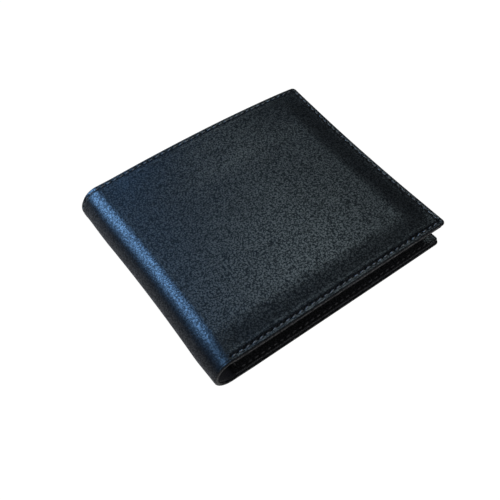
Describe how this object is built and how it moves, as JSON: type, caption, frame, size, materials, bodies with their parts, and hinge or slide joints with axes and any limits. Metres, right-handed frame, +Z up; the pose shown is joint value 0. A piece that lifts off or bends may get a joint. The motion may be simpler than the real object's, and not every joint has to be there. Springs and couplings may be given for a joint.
{
  "type": "bifold wallet",
  "caption": "Closed bifold leather wallet: two stitched covers joined by a rounded spine, with card slots inside and a bill compartment open along one long edge.",
  "frame": {"origin": "middle of the closed wallet's footprint, on the surface that its back cover lies on", "axes": "+Z up, from the back cover to the front cover; +X from the spine to the free edges; +Y to the mouth of the bill compartment"},
  "size_m": [0.112, 0.097, 0.018],
  "materials": {
    "cover_leather": "fine-grained black leather, satin",
    "interior_leather": "smooth black leather, matt",
    "lining": "woven dark lining",
    "filler": "bonded fibre padding",
    "thread": "bonded dark sewing thread"
  },
  "bodies": {
    "back_half": {"back_cover_leather": "cover_leather", "back_cover_filler": "filler", "back_cover_lining": "lining", "back_cover_thread": "thread", "back_bill_wall": "lining", "back_card_panel": "interior_leather", "back_lower_card_slot": "interior_leather", "back_panel_thread": "thread", "back_middle_card_slot": "interior_leather", "back_middle_slot_tongue": "lining", "back_upper_card_slot": "interior_leather", "back_upper_slot_tongue": "lining"},
    "spine": {"spine_leather": "cover_leather", "spine_lining": "lining", "spine_bill_strip": "lining", "spine_thread": "thread"},
    "front_half": {"front_cover_leather": "cover_leather", "front_cover_filler": "filler", "front_cover_lining": "lining", "front_cover_thread": "thread", "front_bill_wall": "lining", "front_card_panel": "interior_leather", "front_lower_card_slot": "interior_leather", "front_panel_thread": "thread", "front_middle_card_slot": "interior_leather", "front_middle_slot_tongue": "lining", "front_upper_card_slot": "interior_leather", "front_upper_slot_tongue": "lining"}
  },
  "joints": [
    {"name": "back_fold", "type": "hinge", "parent": "back_half", "child": "spine", "pos_m": [-0.05407, 0, 0.00193], "axis": [0, -1, 0], "range_deg": [-1, 90]},
    {"name": "front_fold", "type": "hinge", "parent": "spine", "child": "front_half", "pos_m": [-0.05407, 0, 0.01607], "axis": [0, -1, 0], "range_deg": [-1, 90]}
  ],
  "couplings": [
    {"joint": "front_fold", "follows": "back_fold", "ratio": 1}
  ]
}
